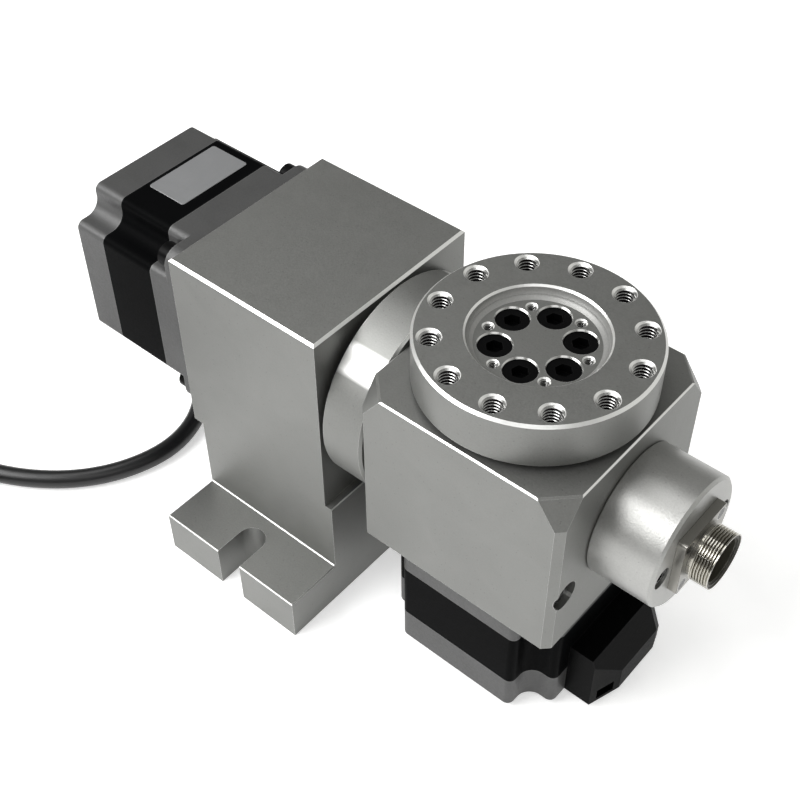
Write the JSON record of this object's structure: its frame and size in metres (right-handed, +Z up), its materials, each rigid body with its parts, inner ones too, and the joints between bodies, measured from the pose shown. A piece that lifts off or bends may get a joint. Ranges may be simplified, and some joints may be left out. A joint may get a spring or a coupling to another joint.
{
  "type": "rotary axis",
  "caption": "Tilting rotary axis for a small milling machine: a geared motor on a footed pedestal tilts a head whose own geared motor turns a round plate with tapped holes.",
  "frame": {"origin": "centre of the pedestal's underside, under the middle of the leg", "axes": "+X along the tilt axis from its motor to the head's connector, +Z up, -Y towards the foot in front of the picture"},
  "size_m": [0.2836, 0.1918, 0.1128],
  "materials": {
    "blasted_aluminium": "bead-blasted and clear anodised, edges cut bright",
    "turned_aluminium": "fine turned and clear anodised",
    "motor_casting": "die-cast, matte",
    "stator_black": "satin black paint over laminations",
    "black_steel": "black oxide",
    "bearing_steel": "ground",
    "cover_plastic": "moulded, fine grain",
    "seal_rubber": "moulded",
    "nickel_plate": "bright nickel plate",
    "insert_plastic": "moulded insulator",
    "contact_metal": "plated pins",
    "cable_rubber": "extruded jacket, semi-matt"
  },
  "bodies": {
    "pedestal": {"pedestal": "blasted_aluminium", "tilt_motor_flange": "motor_casting", "tilt_motor_stack": "stator_black", "tilt_motor_rear_cap": "motor_casting", "tilt_motor_tie_bolts": "black_steel", "tilt_motor_bearings": "bearing_steel", "tilt_motor_screws": "black_steel", "tilt_terminal_cover": "cover_plastic", "tilt_circular_spline": "bearing_steel", "tilt_bearing_outer": "bearing_steel", "tilt_ring_screws": "black_steel", "tilt_seal": "seal_rubber", "cable_gland": "cable_rubber", "lead_cable": "cable_rubber", "lead_coil": "cable_rubber", "lead_tail": "cable_rubber", "lead_plug": "nickel_plate"},
    "tilt_rotor": {"tilt_rotor": "bearing_steel", "tilt_wave_generator": "bearing_steel"},
    "head": {"tilt_plate": "blasted_aluminium", "tilt_bearing_inner": "bearing_steel", "tilt_flexspline": "bearing_steel", "tilt_plate_screws": "black_steel", "table_housing": "blasted_aluminium", "table_motor_flange": "motor_casting", "table_motor_stack": "stator_black", "table_motor_rear_cap": "motor_casting", "table_motor_tie_bolts": "black_steel", "table_motor_bearings": "bearing_steel", "table_motor_screws": "black_steel", "table_terminal_cover": "cover_plastic", "table_circular_spline": "bearing_steel", "table_bearing_outer": "bearing_steel", "table_ring_screws": "black_steel", "table_seal": "seal_rubber", "head_screws": "black_steel", "connector_cap": "turned_aluminium", "cap_screws": "black_steel", "connector_shell": "nickel_plate", "connector_screws": "nickel_plate", "connector_insert": "insert_plastic", "connector_contacts": "contact_metal"},
    "table_rotor": {"table_rotor": "bearing_steel", "table_wave_generator": "bearing_steel"},
    "table": {"table_plate": "blasted_aluminium", "table_bearing_inner": "bearing_steel", "table_flexspline": "bearing_steel", "table_plate_screws": "black_steel"}
  },
  "joints": [
    {"name": "tilt", "type": "hinge", "parent": "pedestal", "child": "head", "pos_m": [0, 0, 0.072], "axis": [1, 0, 0], "range_deg": [-110, 110]},
    {"name": "tilt_motor_turn", "type": "hinge", "parent": "pedestal", "child": "tilt_rotor", "pos_m": [0, 0, 0.072], "axis": [1, 0, 0], "continuous": true},
    {"name": "table_spin", "type": "hinge", "parent": "head", "child": "table", "pos_m": [0.0695, 0, 0.045], "axis": [0, 0, 1], "continuous": true},
    {"name": "table_motor_turn", "type": "hinge", "parent": "head", "child": "table_rotor", "pos_m": [0.0695, 0, 0.045], "axis": [0, 0, 1], "continuous": true}
  ],
  "couplings": [
    {"joint": "tilt_motor_turn", "follows": "tilt", "ratio": -50},
    {"joint": "table_motor_turn", "follows": "table_spin", "ratio": -50}
  ]
}
